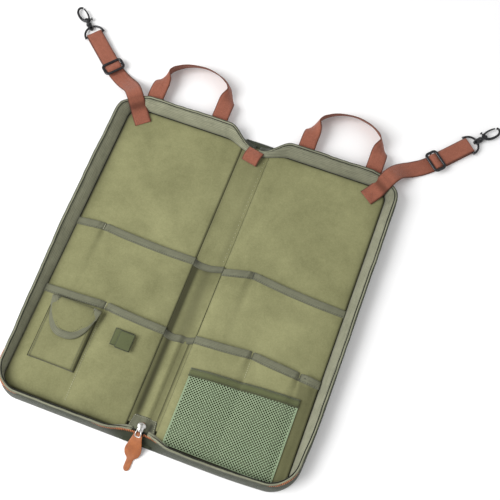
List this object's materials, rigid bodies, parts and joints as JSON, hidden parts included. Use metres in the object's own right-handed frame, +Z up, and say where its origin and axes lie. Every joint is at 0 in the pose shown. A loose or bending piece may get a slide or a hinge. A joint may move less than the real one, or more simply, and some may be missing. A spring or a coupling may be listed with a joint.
{
  "type": "drum stick bag",
  "caption": "Soft padded case that folds flat on a spine, with inside pockets, a net pocket, carry handles and hanging straps with swivel hooks.",
  "frame": {"origin": "middle of the spine's outer face, on the plane that the open bag lies on", "axes": "+X across the open bag, +Y along the spine towards the handles, +Z up out of the open bag"},
  "size_m": [0.677, 0.6545, 0.0275],
  "materials": {
    "outer_cloth": "coarse matte weave",
    "foam": "matte closed-cell foam",
    "lining_cloth": "matte fine weave",
    "tape": "ribbed woven tape",
    "zip_coil": "satin copper",
    "webbing": "woven webbing",
    "slider_metal": "bright nickel",
    "leather": "smooth satin leather",
    "black_metal": "satin black",
    "trim_webbing": "woven webbing",
    "mesh_net": "knitted net"
  },
  "bodies": {
    "spine": {"spine_outer": "outer_cloth", "spine_pad": "foam", "spine_lining": "lining_cloth", "spine_upper_pocket": "lining_cloth", "spine_lower_pocket": "lining_cloth", "top_tab": "webbing", "zip_end_patch": "tape", "zip_end_chain": "zip_coil"},
    "zip_slider": {"zip_slider": "slider_metal"},
    "zip_pull": {"zip_pull_tab": "slider_metal", "zip_pull": "leather"},
    "left_half": {"left_outer_panel": "outer_cloth", "left_foam_pad": "foam", "left_lining": "lining_cloth", "left_gusset": "outer_cloth", "left_zip_tape": "tape", "left_zip_teeth": "zip_coil", "left_upper_pocket": "lining_cloth", "left_upper_binding": "tape", "left_lower_pocket": "lining_cloth", "left_lower_binding": "tape", "left_handle_patches": "webbing", "left_strap_patch": "webbing", "pouch_body": "lining_cloth", "key_tab_base": "trim_webbing"},
    "left_handle": {"left_handle": "webbing"},
    "left_strap": {"left_strap": "webbing"},
    "left_tri_glide": {"left_tri_glide": "black_metal"},
    "left_ring": {"left_swivel_ring": "black_metal"},
    "left_hook": {"left_hook": "black_metal"},
    "left_gate": {"left_hook_gate": "black_metal"},
    "right_half": {"right_outer_panel": "outer_cloth", "right_foam_pad": "foam", "right_lining": "lining_cloth", "right_gusset": "outer_cloth", "right_zip_tape": "tape", "right_zip_teeth": "zip_coil", "right_upper_pocket": "lining_cloth", "right_upper_binding": "tape", "right_lower_pocket": "lining_cloth", "right_lower_binding": "tape", "right_handle_patches": "webbing", "right_strap_patch": "webbing", "mesh_pocket": "mesh_net", "mesh_hem": "trim_webbing"},
    "right_handle": {"right_handle": "webbing"},
    "right_strap": {"right_strap": "webbing"},
    "right_tri_glide": {"right_tri_glide": "black_metal"},
    "right_ring": {"right_swivel_ring": "black_metal"},
    "right_hook": {"right_hook": "black_metal"},
    "right_gate": {"right_hook_gate": "black_metal"},
    "pouch_flap": {"pouch_flap": "lining_cloth"},
    "key_tab_flap": {"key_tab_flap": "trim_webbing"}
  },
  "joints": [
    {"name": "left_fold", "type": "hinge", "parent": "spine", "child": "left_half", "pos_m": [-0.022, 0, 0.006], "axis": [0, 1, 0], "range_deg": [0, 90]},
    {"name": "left_handle_lift", "type": "hinge", "parent": "left_half", "child": "left_handle", "pos_m": [-0.121, 0.243, 0.019], "axis": [-1, 0, 0], "range_deg": [-90, 0]},
    {"name": "left_strap_lift", "type": "hinge", "parent": "left_half", "child": "left_strap", "pos_m": [-0.20872, 0.23618, 0.0229], "axis": [-0.6561, -0.7547, 0], "range_deg": [-120, 0]},
    {"name": "left_tri_glide_slide", "type": "slide", "parent": "left_strap", "child": "left_tri_glide", "axis": [-0.7547, 0.6561, 0], "range_m": [-0.012, 0.045]},
    {"name": "left_ring_swing", "type": "hinge", "parent": "left_strap", "child": "left_ring", "pos_m": [-0.30985, 0.32409, 0.0049], "axis": [-0.6561, -0.7547, 0], "range_deg": [-100, 0]},
    {"name": "left_hook_swivel", "type": "hinge", "parent": "left_ring", "child": "left_hook", "pos_m": [-0.31966, 0.33262, 0.0049], "axis": [-0.7547, 0.6561, 0], "continuous": true},
    {"name": "left_gate_press", "type": "hinge", "parent": "left_hook", "child": "left_gate", "pos_m": [-0.32953, 0.34676, 0.0049], "axis": [0, 0, 1], "range_deg": [0, 28], "stiffness_Nm_per_rad": 0.02},
    {"name": "right_fold", "type": "hinge", "parent": "spine", "child": "right_half", "pos_m": [0.022, 0, 0.006], "axis": [0, -1, 0], "range_deg": [0, 90]},
    {"name": "right_handle_lift", "type": "hinge", "parent": "right_half", "child": "right_handle", "pos_m": [0.121, 0.243, 0.019], "axis": [-1, 0, 0], "range_deg": [-90, 0]},
    {"name": "right_strap_lift", "type": "hinge", "parent": "right_half", "child": "right_strap", "pos_m": [0.20448, 0.24045, 0.0229], "axis": [-0.749, 0.6626, 0], "range_deg": [-120, 0]},
    {"name": "right_tri_glide_slide", "type": "slide", "parent": "right_strap", "child": "right_tri_glide", "axis": [0.6626, 0.749, 0], "range_m": [-0.012, 0.045]},
    {"name": "right_ring_swing", "type": "hinge", "parent": "right_strap", "child": "right_ring", "pos_m": [0.29327, 0.34081, 0.0049], "axis": [-0.749, 0.6626, 0], "range_deg": [-100, 0]},
    {"name": "right_hook_swivel", "type": "hinge", "parent": "right_ring", "child": "right_hook", "pos_m": [0.30189, 0.35055, 0.0049], "axis": [0.6626, 0.749, 0], "continuous": true},
    {"name": "right_gate_press", "type": "hinge", "parent": "right_hook", "child": "right_gate", "pos_m": [0.30982, 0.36586, 0.0049], "axis": [0, 0, -1], "range_deg": [0, 28], "stiffness_Nm_per_rad": 0.02},
    {"name": "zip_travel", "type": "slide", "parent": "spine", "child": "zip_slider", "axis": [0, -1, 0], "range_m": [0, 0.005]},
    {"name": "zip_pull_swing", "type": "hinge", "parent": "zip_slider", "child": "zip_pull", "pos_m": [0, -0.2255, 0.0183], "axis": [1, 0, 0], "range_deg": [-150, 0]},
    {"name": "pouch_flap_lift", "type": "hinge", "parent": "left_half", "child": "pouch_flap", "pos_m": [-0.148, -0.0996, 0.02425], "axis": [1, 0, 0], "range_deg": [-150, 0]},
    {"name": "key_tab_lift", "type": "hinge", "parent": "left_half", "child": "key_tab_flap", "pos_m": [-0.075, -0.1175, 0.0203], "axis": [0, 1, 0], "range_deg": [-120, 0]}
  ]
}
